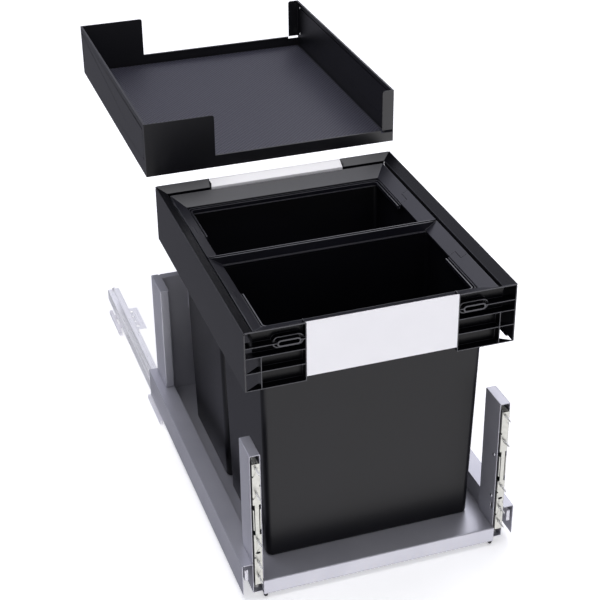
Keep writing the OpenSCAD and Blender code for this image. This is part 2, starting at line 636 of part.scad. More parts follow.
// A thin rounded slab between two corners, drawn in by w and standing at z
module slab(c, w, r, z) translate([0, 0, z]) linear_extrude(0.1)
    soft_rect([c[0].x + w, c[0].y + w], [c[1].x - w, c[1].y - w], max(r - w, 1), $fn = 32);
module bin_body(w, z0, z1) hull() {
    slab(bin_base, w + bin_foot, bin_r, z0);
    slab(bin_base, w + bin_foot * 0.3, bin_r, z0 + bin_foot * 0.3);
    slab(bin_base, w, bin_r, z0 + bin_foot);
    slab(bin_top, w, bin_r, z1 - 0.1);
}
module bin() {
    difference() {
        union() {
            bin_body(0, base_z, rim_z - 0.6);
            translate([0, 0, rim_z - rim_t]) linear_extrude(rim_t)
                soft_rect([-rim_x, rim_y0], [rim_x, rim_y1], 9, $fn = 32);
        }
        bin_body(bin_wall, base_z + bin_wall, rim_z + 1);
    }
}

// Outline of the frame's ring across a side of width w: sloping top, outer skirt, inner skirt and the
// foot that stands on the bin's rim
skirt_h = 3.2;
skirt_t = 1.6;
foot_in = 5.6;
module frame_outline(w) {
    top = frame_out_z - 2.4;
    low = frame_in_z - 1;
    slope = (low - top) / (w - skirt_t - frame_t);
    f = w - foot_in;
    polygon([[0, frame_out_z], [w, frame_in_z], [w, frame_in_z - skirt_h], [w - skirt_t, frame_in_z - skirt_h],
        [w - skirt_t, low], [f + skirt_t, top + slope * (f + skirt_t - frame_t)], [f + skirt_t, rim_z + move_gap],
        [f, rim_z + move_gap], [f, top + slope * (f - frame_t)],
        [frame_t, top], [frame_t, rim_z - 7], [0, rim_z - 7]]);
}
// Beside the other bin the frame is an upright wall with a flat top, on a foot that stands on the rim
bar_top = 2;
bar_foot_t = 1.8;
module frame_bar() polygon([[0, frame_out_z], [bar_top, frame_out_z], [frame_mid_w, frame_in_z],
    [frame_mid_w, rim_z + move_gap + bar_foot_t], [foot_in, rim_z + move_gap + bar_foot_t], [foot_in, rim_z + move_gap],
    [frame_t, rim_z + move_gap], [frame_t, rim_z - 7], [0, rim_z - 7]]);
// The ring in plan is cut at its mitres, from the outer corners to the inner ones
inner_y0 = frame_y0 + frame_end_w;
inner_y1 = frame_y1 - frame_mid_w;
module wedge(points) translate([0, 0, rim_z - 10]) linear_extrude(60) polygon(points);
module frame_ring() {
    w = frame_out_x;
    for (k = [0, 1]) mirror([k, 0, 0]) intersection() {
        along_y(frame_y0, frame_y1) translate([w, 0]) mirror([1, 0]) frame_outline(frame_w);
        wedge([[w, frame_y0], [w, frame_y1], [frame_in_x, inner_y1], [frame_in_x, inner_y0]]);
    }
    intersection() {
        along_x(-w, w) translate([frame_y0, 0]) frame_outline(frame_end_w);
        wedge([[-w, frame_y0], [w, frame_y0], [frame_in_x, inner_y0], [-frame_in_x, inner_y0]]);
    }
    intersection() {
        along_x(-w, w) translate([frame_y1, 0]) mirror([1, 0]) frame_bar();
        wedge([[-w, frame_y1], [w, frame_y1], [frame_in_x, inner_y1], [frame_in_x, frame_y1 - foot_in],
               [-frame_in_x, frame_y1 - foot_in], [-frame_in_x, inner_y1]]);
    }
}

// The stepped seam: outer half of the ring's width ends further from the middle than the inner half
seam_out = 108;
seam_in = 88;
seam_gap = 0.5;
seam_reach = frame_out_x + 20;       // beyond the ring on every side
// The plan of the inner piece, which carries the divider; grown by g
module seam_plan(g) {
    step_x = frame_in_x + frame_w / 2 - g;
    translate([-seam_reach, mid_y - seam_in - g]) square([2 * seam_reach, 2 * seam_in]);
    for (s = [-1, 1]) translate([s > 0 ? step_x : -seam_reach, mid_y - seam_out - g])
        square([seam_reach - step_x, 2 * seam_in]);
}
module frame_inner() intersection() {
    frame_ring();
    translate([0, 0, rim_z - 10]) linear_extrude(60) seam_plan(0);
}
// The outer piece also has the bag rail: a thin lip with round corners inside the ring, on a web that
// hangs from the ring's inner skirt
bag_gap = 3.6;
bag_lip_t = 2;
bag_drop = 9;                        // of the bag rail's underside below the ring's inner edge
bag_lip_h = 6;
bag_r = 8;
bag_z = frame_in_z - bag_drop;
module frame_outer() difference() {
    union() {
        frame_ring();
        translate([0, 0, bag_z]) {
            linear_extrude(bag_lip_h) bag_band(bag_gap, bag_gap + bag_lip_t);
            linear_extrude(skirt_t) bag_band(0, bag_gap + 0.5);
            linear_extrude(bag_drop - skirt_h + 1) bag_band(0, skirt_t);
        }
    }
    translate([0, 0, rim_z - 10]) linear_extrude(60) seam_plan(seam_gap);
}
// The plan of a band that runs round three sides, between two distances inside the ring's inner edge
module bag_band(a, b) difference() {
    bag_plan(a);
    bag_plan(b);
}
module bag_plan(g) soft_rect([g - frame_in_x, inner_y0 + g], [frame_in_x - g, mid_y + 40], bag_r - g / 2);

shelf_tray();
shelf_mat();
left() cabinet_rail();  // cabinet_rail_left
cabinet_rail();  // cabinet_rail_right
left() floor_brackets();  // floor_brackets_left
floor_brackets();  // floor_brackets_right
left() side_spacers();  // side_spacers_left
side_spacers();  // side_spacers_right
left() middle_rail();  // middle_rail_left
middle_rail();  // middle_rail_right
left() outer_cage();  // outer_cage_left
outer_cage();  // outer_cage_right
left() inner_cage();  // inner_cage_left
inner_cage();  // inner_cage_right
left() drawer_rail();  // drawer_rail_left
drawer_rail();  // drawer_rail_right
base_tray();
tray_feet();
left() rail_cover();  // rail_cover_left
rail_cover();  // rail_cover_right
rear_panel();
left() rear_post();  // rear_post_left
rear_post();  // rear_post_right
left() front_upright();  // front_upright_left
front_upright();  // front_upright_right
upright_rivets();
left() collar_side();  // collar_side_left
collar_side();  // collar_side_right
color("#333338") place() left() corner();  // corner_front_left
color("#333338") place() corner();  // corner_front_right
color("#333338") place() rear() left() corner();  // corner_rear_left
color("#333338") place() rear() corner();  // corner_rear_right
color("#eeeeee") place() crossbar();  // crossbar_front
color("#eeeeee") place() rear() crossbar();  // crossbar_rear
collar_screws();
left() collar_stay();  // collar_stay_left
collar_stay();  // collar_stay_right
left() latch_housing();  // latch_housing_left
latch_housing();  // latch_housing_right
left() release_lever();  // release_lever_left
release_lever();  // release_lever_right
left() panel_bracket();  // panel_bracket_left
panel_bracket();  // panel_bracket_right
left() panel_screws();  // panel_screws_left
panel_screws();  // panel_screws_right
left() bracket_clip();  // bracket_clip_left
bracket_clip();  // bracket_clip_right
left() adjuster_bolt();  // adjuster_bolt_left
adjuster_bolt();  // adjuster_bolt_right
color("#2e2e32") place() bin();  // front_bin
color("#2e2e32") place() rear() bin();  // rear_bin
color("#3c3c44") place() frame_outer();  // front_frame_outer
color("#3c3c44") place() frame_inner();  // front_frame_inner
color("#3c3c44") place() rear() frame_outer();  // rear_frame_outer
color("#3c3c44") place() rear() frame_inner();  // rear_frame_inner
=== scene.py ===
"""A two-bin waste pull-out for a kitchen cabinet, shown pulled out, with its organiser shelf above."""

import json
from math import pi, radians

import bmesh
import bpy
from mathutils import Matrix, Vector


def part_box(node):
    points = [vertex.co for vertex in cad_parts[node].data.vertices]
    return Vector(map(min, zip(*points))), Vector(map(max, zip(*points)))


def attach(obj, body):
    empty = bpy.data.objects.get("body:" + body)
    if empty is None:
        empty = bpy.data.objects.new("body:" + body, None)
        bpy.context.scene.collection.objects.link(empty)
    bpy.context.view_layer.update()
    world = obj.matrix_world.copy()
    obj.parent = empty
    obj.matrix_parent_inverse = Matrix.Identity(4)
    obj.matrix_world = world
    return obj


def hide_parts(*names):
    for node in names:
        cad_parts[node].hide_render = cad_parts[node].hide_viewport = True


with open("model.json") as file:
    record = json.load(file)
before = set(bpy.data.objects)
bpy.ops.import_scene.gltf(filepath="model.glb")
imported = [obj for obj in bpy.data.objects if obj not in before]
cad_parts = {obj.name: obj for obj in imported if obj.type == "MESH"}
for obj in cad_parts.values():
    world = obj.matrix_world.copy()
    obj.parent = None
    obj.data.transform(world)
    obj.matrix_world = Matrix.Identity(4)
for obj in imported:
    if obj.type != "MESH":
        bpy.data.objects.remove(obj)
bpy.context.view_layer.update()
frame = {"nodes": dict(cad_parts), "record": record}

MM = 0.001


# Camera
# It looks down on the unit from the front left, as the photograph does; its place, angle and lens were fitted to it.
camera_data = bpy.data.cameras.new("camera")
camera_data.sensor_width = 36.0
camera_data.lens = 88.28
camera_data.clip_end = 50.0
camera = bpy.data.objects.new("camera", camera_data)
bpy.context.scene.collection.objects.link(camera)
camera_place = (-0.61862, -2.31371, 1.37507)
camera_turn, camera_tilt, camera_roll = radians(18.456), radians(29.792), radians(-0.688)
camera.matrix_world = (
    Matrix.Translation(camera_place)
    @ Matrix.Rotation(-camera_turn, 4, "Z")
    @ Matrix.Rotation(pi / 2 - camera_tilt, 4, "X")
    @ Matrix.Rotation(camera_roll, 4, "Z")
)
bpy.context.scene.camera = camera
bpy.context.scene.view_settings.view_transform = "Standard"


# Cabinet rails, floor brackets, middle and drawer rails
# Steel strip, roll-formed to channels that nest in each other, then bright zinc-plated. The cabinet rail is welded to
# two perforated brackets, which are screwed to the cabinet floor.
def linear(code):
    """A colour from its sRGB hex code, as the shader wants it."""
    parts = [int(code[i : i + 2], 16) / 255 for i in (1, 3, 5)]
    return (*[p / 12.92 if p <= 0.04045 else ((p + 0.055) / 1.055) ** 2.4 for p in parts], 1.0)


def add(tree, kind, sockets, **settings):
    """A shader node with its settings; a socket takes a value, or a link from another node's socket."""
    node = tree.nodes.new("ShaderNode" + kind)
    for name, value in settings.items():
        setattr(node, name, value)
    for name, value in sockets.items():
        if isinstance(value, bpy.types.NodeSocket):
            tree.links.new(value, node.inputs[name])
        else:
            node.inputs[name].default_value = value
    return node


def begin_finish(name, **constants):
    """A new material with its shader's constants, and the place on the object in millimetres."""
    material = bpy.data.materials.new(name)
    material.use_nodes = True
    tree = material.node_tree
    surface = tree.nodes["Principled BSDF"]
    for socket, value in constants.items():
        surface.inputs[socket.replace("_", " ")].default_value = value
    place = add(tree, "TexCoord", {}).outputs["Object"]
    place = add(tree, "VectorMath", {0: place, "Scale": 1 / MM}, operation="SCALE").outputs[0]
    return material, tree, surface, place


def vary(tree, surface, broad, deep, pale, fine, rough, spread, relief, strength=1.0):
    """Lets the tone drift with a broad noise, and the gloss and the relief, in millimetres, follow a fine one."""
    tone = add(tree, "MapRange", {"Value": broad, "From Min": 0.35, "From Max": 0.65}).outputs[0]
    tint = add(tree, "Mix", {0: tone, 6: linear(deep), 7: linear(pale)}, data_type="RGBA").outputs[2]
    gloss_range = {"From Min": 0.3, "From Max": 0.7, "To Min": rough - spread, "To Max": rough + spread}
    gloss = add(tree, "MapRange", {"Value": fine, **gloss_range}).outputs[0]
    bump = add(tree, "Bump", {"Height": fine, "Distance": relief * MM, "Strength": strength}).outputs[0]
    tree.links.new(tint, surface.inputs["Base Color"])
    tree.links.new(gloss, surface.inputs["Roughness"])
    tree.links.new(bump, surface.inputs["Normal"])


def zinc_plating(name, dull, bright, rough, crystal, metallic):
    """Electroplated zinc: patches of slightly different brightness, and faint lines along the rolled strip."""
    material, tree, surface, place = begin_finish(name, Metallic=metallic)
    patches = add(tree, "TexNoise", {"Vector": place, "Scale": 1 / crystal, "Detail": 3.0}).outputs["Fac"]
    along = add(tree, "Mapping", {"Vector": place, "Scale": (1 / 0.9, 1 / 40.0, 1 / 0.9)}).outputs[0]
    lines = add(tree, "TexNoise", {"Vector": along, "Scale": 1.0, "Detail": 2.0}).outputs["Fac"]
    vary(tree, surface, patches, dull, bright, lines, rough, spread=0.008, relief=0.0004, strength=0.4)
    return material


body_of = {node: body for body, nodes in frame["record"]["behaviour"]["bodies"].items() for node in nodes}


def seat(piece, name, node, *materials):
    """Names a finished piece, adds its materials, and lets it ride in the place of a CAD node."""
    piece.name = name
    for material in materials:
        piece.data.materials.append(material)
    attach(piece, body_of[node])
    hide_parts(node)


def own_copy(mesh, name):
    """A new object with its own copy of a mesh, selected alone."""
    bpy.ops.object.select_all(action="DESELECT")
    piece = bpy.data.objects.new(name, mesh.copy())
    bpy.context.scene.collection.objects.link(piece)
    piece.select_set(True)
    bpy.context.view_layer.objects.active = piece
    return piece


def apply_modifiers(piece):
    """Applies a piece's modifiers from first to last."""
    bpy.ops.object.mode_set(mode="OBJECT")
    for modifier in list(piece.modifiers):
        bpy.ops.object.modifier_apply(modifier=modifier.name)


def soften(piece, width, fold=0, segments=2, clamp=False):
    """Rounds a piece's edges by width in millimetres, and by fold those between two broad faces, where sheet is bent.
    Its flat faces stay flat to the eye, and its edges take its last material."""
    sharp_angle, broad_face = radians(30), 3.5 * MM
    bpy.ops.object.mode_set(mode="OBJECT")
    bpy.ops.object.shade_smooth()
    form = bmesh.new()
    form.from_mesh(piece.data)
    breadth = {face: face.calc_area() / max(edge.calc_length() for edge in face.edges) for face in form.faces}
    weight = form.edges.layers.float.new("bevel_weight_edge")
    for edge in form.edges:
        if len(edge.link_faces) == 2 and edge.calc_face_angle() > sharp_angle:
            bent = edge.is_convex and min(breadth[face] for face in edge.link_faces) > broad_face
            edge[weight] = 1.0 if bent and fold else width / max(width, fold)
    form.to_mesh(piece.data)
    form.free()
    bevel = piece.modifiers.new("edges", "BEVEL")
    bevel.width = max(width, fold) * MM
    bevel.segments = segments
    bevel.limit_method = "WEIGHT"
    bevel.use_clamp_overlap = clamp
    bevel.material = len(piece.data.materials) - 1
    apply_modifiers(piece)

    # Faces with many corners are split, because one with a notch may be drawn across it when it is left whole
    bpy.ops.object.mode_set(mode="EDIT")
    bpy.ops.mesh.select_mode(type="FACE")
    bpy.ops.mesh.select_face_by_sides(number=4, type="GREATER")
    bpy.ops.mesh.quads_convert_to_tris(quad_method="BEAUTY", ngon_method="BEAUTY")
    bpy.ops.object.mode_set(mode="OBJECT")
    flats = piece.modifiers.new("flats", "WEIGHTED_NORMAL")
    flats.keep_sharp = False
    flats.weight = 100
    apply_modifiers(piece)


def finish_node(node, materials, width=0.35, **kind):
    """The CAD piece with its triangles merged to convex faces and its edges softened, which take the last material."""
    piece = own_copy(frame["nodes"][node].data, node)
    bpy.ops.object.mode_set(mode="EDIT")
    bpy.ops.mesh.select_all(action="SELECT")
    bpy.ops.mesh.remove_doubles(threshold=0.002 * MM)
    bpy.ops.mesh.dissolve_limited(angle_limit=radians(0.5))
    bpy.ops.mesh.vert_connect_concave()
    bpy.ops.object.mode_set(mode="OBJECT")
    piece.data.materials.clear()
    for material in materials:
        piece.data.materials.append(material)
    soften(piece, width, **kind)
    seat(piece, node + "_finish", node)
    return piece


rail_zinc = zinc_plating("bright_zinc_plated_rolled_steel", "#f2f2f3", "#f6f6f7", 0.28, 14.0, 0.35)
for side in ("left", "right"):
    finish_node("cabinet_rail_" + side, [rail_zinc], 0.35, fold=0.9)
    finish_node("floor_brackets_" + side, [rail_zinc], 0.3)
    finish_node("middle_rail_" + side, [rail_zinc], 0.3, fold=0.8)
    finish_node("drawer_rail_" + side, [rail_zinc], 0.3, fold=0.8)


# Side spacers
# White nylon rods with round ends, moulded in one with the arms that snap under the rail. They bear on the cabinet's
# sides, so they are plain and slightly waxy.
def moulded(name, deep, pale, rough, erosion, depth=0.012, **constants):
    """Injection-moulded plastic: the mould's fine eroded grain, and a tone that drifts with the flow of the melt."""
    material, tree, surface, place = begin_finish(name, **constants)
    flow = add(tree, "TexNoise", {"Vector": place, "Scale": 1 / 90.0, "Detail": 2.0}).outputs["Fac"]
    grain = add(tree, "TexNoise", {"Vector": place, "Scale": 1 / erosion, "Detail": 3.0, "Roughness": 0.6})
    vary(tree, surface, flow, deep, pale, grain.outputs["Fac"], rough, spread=0.05, relief=depth)
    return material


white_nylon = moulded("white_moulded_nylon", "#ebeaf0", "#f2f1f5", 0.35, 0.8)
for side in ("left", "right"):
    finish_node("side_spacers_" + side, [white_nylon], 1.6, segments=4, clamp=True)


# Ball cages
# Hardened balls, burnished bright, in strips of punched spring steel. They roll between the rails' races.
def bright_steel(name, dull, bright, rough, metallic=1.0):
    """Polished or burnished steel: nearly white, with a haze that varies over a few millimetres."""
    material, tree, surface, place = begin_finish(name, Metallic=metallic)
    haze = add(tree, "TexNoise", {"Vector": place, "Scale": 1 / 3.0, "Detail": 3.0}).outputs["Fac"]
    vary(tree, surface, haze, dull, bright, haze, rough, spread=0.04, relief=0.003, strength=0.5)
    return material


ball_steel = bright_steel("burnished_spring_steel", "#c6c6ca", "#dededf", 0.2)
for side in ("left", "right"):
    finish_node("outer_cage_" + side, [ball_steel], 0.08, clamp=True)
    finish_node("inner_cage_" + side, [ball_steel], 0.08, clamp=True)


# Base tray, rail covers, rear wall, posts and uprights
# Steel sheet, laser-cut and folded, then powder-coated in a silver grey that holds fine metal flake. The pieces are
# spot-welded and riveted to each other; the folds are tight, so each shows as a narrow light line.
def powder_coat(name, deep, pale, rough, peel, **constants):
    """Powder coat: the low waves left as the powder melts, orange peel, under an even colour that clouds slightly."""
    material, tree, surface, place = begin_finish(name, **constants)
    cloud = add(tree, "TexNoise", {"Vector": place, "Scale": 1 / 70.0, "Detail": 2.0}).outputs["Fac"]
    waves = add(tree, "TexNoise", {"Vector": place, "Scale": 1 / peel, "Detail": 1.0}).outputs["Fac"]
    vary(tree, surface, cloud, deep, pale, waves, rough, spread=0.03, relief=0.006)
    return material


silver_coat = powder_coat("silver_powder_coated_steel", "#b0b0b8", "#b7b7be", 0.36, 1.6, Metallic=0.5)
finish_node("base_tray", [silver_coat], 0.4, fold=1.3)
finish_node("rear_panel", [silver_coat], 0.4, fold=1.3)
for side in ("left", "right"):
    finish_node("rail_cover_" + side, [silver_coat], 0.4, fold=1.3)
    finish_node("rear_post_" + side, [silver_coat], 0.4, fold=1.3)
    finish_node("front_upright_" + side, [silver_coat], 0.4, fold=1.3)
    finish_node("latch_housing_" + side, [silver_coat], 0.3)
    finish_node("collar_stay_" + side, [silver_coat], 0.4, fold=1.3)


# Tray feet
# Two black rubber studs, pressed into the return of the tray's front lip from below.
foot_rubber = moulded("black_moulded_rubber", "#101012", "#151518", 0.55, 0.7)
finish_node("tray_feet", [foot_rubber], 0.5, segments=3, clamp=True)


# Upright rivets
# Domed steel rivets, two on the inner side of each upright, which hold the bracket's guide.
def joined(pieces):
    """Several pieces as one, selected alone."""
    bpy.ops.object.select_all(action="DESELECT")
    for piece in pieces:
        piece.select_set(True)
    bpy.context.view_layer.objects.active = pieces[0]
    bpy.ops.object.join()
    return pieces[0]


rivet_radius, rivet_height = 2.6, 1.7
upright_face, rivet_y, rivet_levels = 173, -797, (82, 154)
rivet_steel = bright_steel("bright_rivet_steel", "#b8b8bc", "#cfcfd2", 0.25)
rivet_heads = []
for x, turn in ((-upright_face, 90), (upright_face, -90)):
    for z in rivet_levels:
        bpy.ops.object.select_all(action="DESELECT")
        bpy.ops.mesh.primitive_uv_sphere_add(segments=20, ring_count=12, radius=rivet_radius * MM)
        head = bpy.context.active_object
        bpy.ops.object.mode_set(mode="EDIT")
        bpy.ops.mesh.bisect(plane_co=(0, 0, 0), plane_no=(0, 0, 1), use_fill=True, clear_inner=True)
        bpy.ops.object.mode_set(mode="OBJECT")
        head.scale = (1, 1, rivet_height / rivet_radius)
        head.rotation_euler = (0, radians(turn), 0)
        head.location = Vector((x, rivet_y, z)) * MM
        bpy.ops.object.transform_apply(location=True, rotation=True, scale=True)
        bpy.ops.object.shade_smooth_by_angle(angle=radians(40))
        rivet_heads.append(head)
seat(joined(rivet_heads), "upright_rivet_heads", "upright_rivets", rivet_steel)


# Latch levers
# White nylon levers at the front end of each runner; pressing one lets the drawer off its rail.
for side in ("left", "right"):
    finish_node("release_lever_" + side, [white_nylon], 0.3, clamp=True)


# Front brackets and clips
# Stampings of thick steel strip, zinc-plated with a slightly warm sheen, that slide in the uprights and carry the
# front panel. The clip on top is spring steel.
bracket_zinc = zinc_plating("zinc_plated_pressing", "#9c9c97", "#a6a6a1", 0.3, 5.0, 0.9)
white_zinc = zinc_plating("pale_zinc_plated_spring_steel", "#e4e4de", "#eeeee9", 0.3, 4.0, 0.3)
for side in ("left", "right"):
    finish_node("panel_bracket_" + side, [bracket_zinc], 0.3)
    finish_node("bracket_clip_" + side, [white_zinc], 0.2, clamp=True)


# Panel screws
# Pan-head wood screws of bright plated steel, driven from inside the bracket into the front panel, so their threads
# stand out of the bracket while no panel is fitted.
screw_steel = bright_steel("bright_plated_screw_steel", "#f2f2ee", "#fafaf8", 0.28, 0.25)
head_radius, head_height, head_round = 3.8, 1.6, 0.6
neck_radius, core_radius, point_length, point_width = 1.5, 1.35, 4.0, 0.12
thread_start, thread_end, thread_crest, thread_pitch = 2.1, 14.6, 1.9, 1.8
wire_radius, wire_inset = 0.62, 0.3
screw_x, screw_y, screw_levels, turn_per_level = 180.75, -808.4, (43, 68, 106, 184, 225), radians(11)


def pick(piece, kind, test):
    """Selects, in edit mode, the vertices, edges or faces whose corners, in millimetres, pass a test."""
    bpy.ops.object.mode_set(mode="EDIT")
    bpy.ops.mesh.select_mode(type=kind)
    bpy.ops.mesh.select_all(action="DESELECT")
    bpy.ops.object.mode_set(mode="OBJECT")
    corners = piece.data.vertices
    if kind == "VERT":
        for corner in corners:
            corner.select = test([corner.co / MM])
    else:
        for part in piece.data.edges if kind == "EDGE" else piece.data.polygons:
            part.select = test([corners[i].co / MM for i in part.vertices])
    bpy.ops.object.mode_set(mode="EDIT")


bpy.ops.object.select_all(action="DESELECT")
bpy.ops.mesh.primitive_cylinder_add(
    vertices=20, radius=head_radius * MM, depth=head_height * MM, location=(0, 0, -head_height / 2 * MM)
)
bpy.ops.object.transform_apply(location=True, rotation=True, scale=True)
screw = bpy.context.active_object
pick(screw, "FACE", lambda corners: all(c.z > -0.1 for c in corners))
bpy.ops.mesh.inset(thickness=(head_radius - neck_radius) * MM)
bpy.ops.mesh.extrude_region_move(TRANSFORM_OT_translate={"value": (0, 0, thread_start * MM)})
bpy.ops.mesh.inset(thickness=(neck_radius - core_radius) * MM)
bpy.ops.mesh.extrude_region_move(TRANSFORM_OT_translate={"value": (0, 0, (thread_end - thread_start) * MM)})
bpy.ops.mesh.extrude_region_move(TRANSFORM_OT_translate={"value": (0, 0, point_length * MM)})
bpy.ops.transform.resize(
    value=(point_width, point_width, 1), center_override=(0, 0, (thread_end + point_length) * MM)
)
pick(screw, "FACE", lambda corners: all(c.z < -head_height + 0.1 for c in corners))
bpy.ops.mesh.bevel(offset=head_round * MM, segments=3)
bpy.ops.object.mode_set(mode="OBJECT")
bpy.ops.object.shade_smooth_by_angle(angle=radians(35))

# The thread is a three-cornered wire wound round the core, with its ends closed
bpy.ops.object.select_all(action="DESELECT")
bpy.ops.mesh.primitive_circle_add(vertices=3, radius=wire_radius * MM, rotation=(pi / 2, 0, -pi / 2))
thread = bpy.context.active_object
thread.location = Vector((thread_crest - wire_radius, 0, thread_start + wire_inset)) * MM
bpy.ops.object.transform_apply(location=True, rotation=True, scale=True)
winding = thread.modifiers.new("winding", "SCREW")
winding.axis = "Z"
winding.screw_offset = thread_pitch * MM
winding.iterations = int((thread_end - thread_start) / thread_pitch)
winding.steps = winding.render_steps = 14
winding.use_merge_vertices = False
apply_modifiers(thread)
bpy.ops.object.mode_set(mode="EDIT")
bpy.ops.mesh.select_all(action="SELECT")
bpy.ops.mesh.fill_holes(sides=4)
bpy.ops.mesh.select_all(action="SELECT")
bpy.ops.mesh.normals_make_consistent(inside=False)
bpy.ops.object.mode_set(mode="OBJECT")
bpy.ops.object.shade_flat()
joined([screw, thread])

for side, x in (("left", -screw_x), ("right", screw_x)):
    row = []
    for z in screw_levels:
        row.append(own_copy(screw.data, "screw"))
        row[-1].rotation_euler = (pi / 2, turn_per_level * z, 0)
        row[-1].location = Vector((x, screw_y, z)) * MM
    joined(row)
    bpy.ops.object.transform_apply(location=True, rotation=True, scale=True)
    seat(row[0], "panel_screws_" + side + "_threaded", "panel_screws_" + side, screw_steel)
bpy.data.objects.remove(screw)


# Height adjusters
# A hexagon bolt with a cross recess stands in each upright's foot and lifts the bracket by its nut block.
for side in ("left", "right"):
    finish_node("adjuster_bolt_" + side, [screw_steel], 0.25, clamp=True)


# Collar
# Two skirts and four ribbed corner mouldings of anthracite ABS, clipped round the bins' rims. The mould was eroded to a
# fine even grain. Its rounded edges and the fronts of its ribs take a paler grey, a painted highlight, so they show as
# thin light lines. The ring's upward slopes are painted shade on the skirts, darker and duller, and painted sheen on
# the corners, paler and glossier.
collar_abs = moulded("anthracite_moulded_abs", "#0b0b0e", "#0e0e12", 0.42, 0.9, Specular_IOR_Level=0.45)
corner_abs = moulded("anthracite_ribbed_abs", "#07070a", "#09090d", 0.3, 0.9, Specular_IOR_Level=0.15)
frame_abs = moulded("anthracite_satin_abs", "#121219", "#16161e", 0.34, 0.8, Specular_IOR_Level=0.55)
# A paler grey for rounded edges and rib fronts: a painted highlight
abs_painted_edge_highlight = moulded("abs_painted_edge_highlights", "#38383d", "#404045", 0.42, 0.9)
face_slot, painted_highlight_slot, slope_shade_and_sheen_slot = 0, 1, 2
rib_depth, slope_height = 5.5 * MM, 11 * MM
slope_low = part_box("collar_side_left")[1].z - slope_height
for side in ("left", "right"):
    skirt = finish_node("collar_side_" + side, [collar_abs, abs_painted_edge_highlight], 0.4, fold=0.8)
    skirt.data.materials.append(corner_abs)
    # The skirts' upward faces take the darker, duller ribbed grey: painted shade
    for face in skirt.data.polygons:
        if face.normal.z > 0.5 and face.material_index == face_slot:
            face.material_index = slope_shade_and_sheen_slot
    for end, outward in (("front", 0), ("rear", 1)):
        node = "corner_" + end + "_" + side
        corner = finish_node(node, [corner_abs, abs_painted_edge_highlight], 0.3)
        corner.data.materials.append(frame_abs)
        outer_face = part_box(node)[outward].y
        for face in corner.data.polygons:
            # The fronts of the ribs take the paler edge grey, a painted highlight
            if abs(face.normal.y) > 0.9 and abs(face.center.y - outer_face) < rib_depth:
                face.material_index = painted_highlight_slot
            # The corners' upward slopes take the paler, glossier satin grey: painted sheen
            elif face.normal.z > 0.5 and face.center.z > slope_low:
                face.material_index = slope_shade_and_sheen_slot


# Crossbars
# White powder-coated steel strips, folded over the collar's front and rear and held by pan-head screws from inside.
white_coat = powder_coat("white_powder_coated_steel", "#f5f4f5", "#f7f6f7", 0.4, 1.6)
finish_node("crossbar_front", [white_coat], 0.4, fold=0.9)
finish_node("crossbar_rear", [white_coat], 0.4, fold=0.9)
finish_node("collar_screws", [screw_steel], 0.2, clamp=True)


# Bins
# Polypropylene, injection-moulded: a tapered tub with round upright corners, a rounded foot and a flat rim. A long
# flow from the middle of the floor leaves the surface satin and very even.
bin_pp = moulded(
    "anthracite_moulded_polypropylene", "#0a0a0e", "#0c0c11", 0.4, 1.0, depth=0.008, Specular_IOR_Level=0.23
)
bin_wall, bin_corner, bin_foot = 2.2, 7.0, 4.0
rim_side, rim_front, rim_middle = 10.9, 10.5, 1.3
base_narrower, base_shorter, base_back = 12.0, 16.0, 2.0
near, upright_edge = 0.5, 100

rim_low, rim_high = (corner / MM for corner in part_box("front_bin"))
rim_size = rim_high - rim_low
body_low = Vector((rim_low.x + rim_side, rim_low.y + rim_front, rim_low.z))
body_high = Vector((rim_high.x - rim_side, rim_high.y - rim_middle, rim_high.z - bin_wall))
body_size = body_high - body_low
body_middle = (body_high + body_low) / 2

bpy.ops.object.select_all(action="DESELECT")
bpy.ops.mesh.primitive_cube_add(size=1, location=body_middle * MM, scale=body_size * MM)
bpy.ops.object.transform_apply(location=True, rotation=True, scale=True)
tub = bpy.context.active_object
pick(tub, "VERT", lambda corners: corners[0].z < body_low.z + near)
bpy.ops.transform.resize(
    value=(1 - base_narrower / body_size.x, 1 - base_shorter / body_size.y, 1), center_override=body_middle * MM
)
bpy.ops.transform.translate(value=(0, base_back * MM, 0))
pick(tub, "EDGE", lambda corners: abs(corners[0].z - corners[1].z) > upright_edge)
bpy.ops.mesh.bevel(offset=bin_corner * MM, segments=9)
pick(tub, "FACE", lambda corners: all(c.z < body_low.z + near for c in corners))
bpy.ops.mesh.bevel(offset=bin_foot * MM, segments=5)
pick(tub, "FACE", lambda corners: all(c.z > body_high.z - near for c in corners))
bpy.ops.mesh.delete(type="ONLY_FACE")
pick(tub, "EDGE", lambda corners: all(c.z > body_high.z - near for c in corners))
bpy.ops.mesh.extrude_edges_move(TRANSFORM_OT_translate={"value": (0, (rim_middle - rim_front) / 2 * MM, 0)})
rim_centre = Vector((0, (rim_low.y + rim_high.y) / 2, body_high.z)) * MM
bpy.ops.transform.resize(
    value=(rim_size.x / body_size.x, rim_size.y / body_size.y, 1), center_override=rim_centre
)
bpy.ops.mesh.select_all(action="SELECT")
bpy.ops.mesh.normals_make_consistent(inside=False)
bpy.ops.object.mode_set(mode="OBJECT")
wall = tub.modifiers.new("wall", "SOLIDIFY")
wall.thickness = bin_wall * MM
wall.offset = -1
wall.use_even_offset = True
soften(tub, 0.6, segments=3)

# The rear bin is the front one turned round, so it is its mirror image about the collar's middle
rear_tub = own_copy(tub.data, "rear_tub")
seat(tub, "front_bin_tub", "front_bin", bin_pp)
collar_middle = (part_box("collar_side_left")[0].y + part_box("collar_side_left")[1].y) / 2
bpy.ops.object.mode_set(mode="EDIT")
bpy.ops.mesh.select_all(action="SELECT")
bpy.ops.transform.resize(value=(1, -1, 1), center_override=(0, collar_middle, 0))
bpy.ops.mesh.flip_normals()
bpy.ops.object.mode_set(mode="OBJECT")
seat(rear_tub, "rear_bin_tub", "rear_bin", bin_pp)


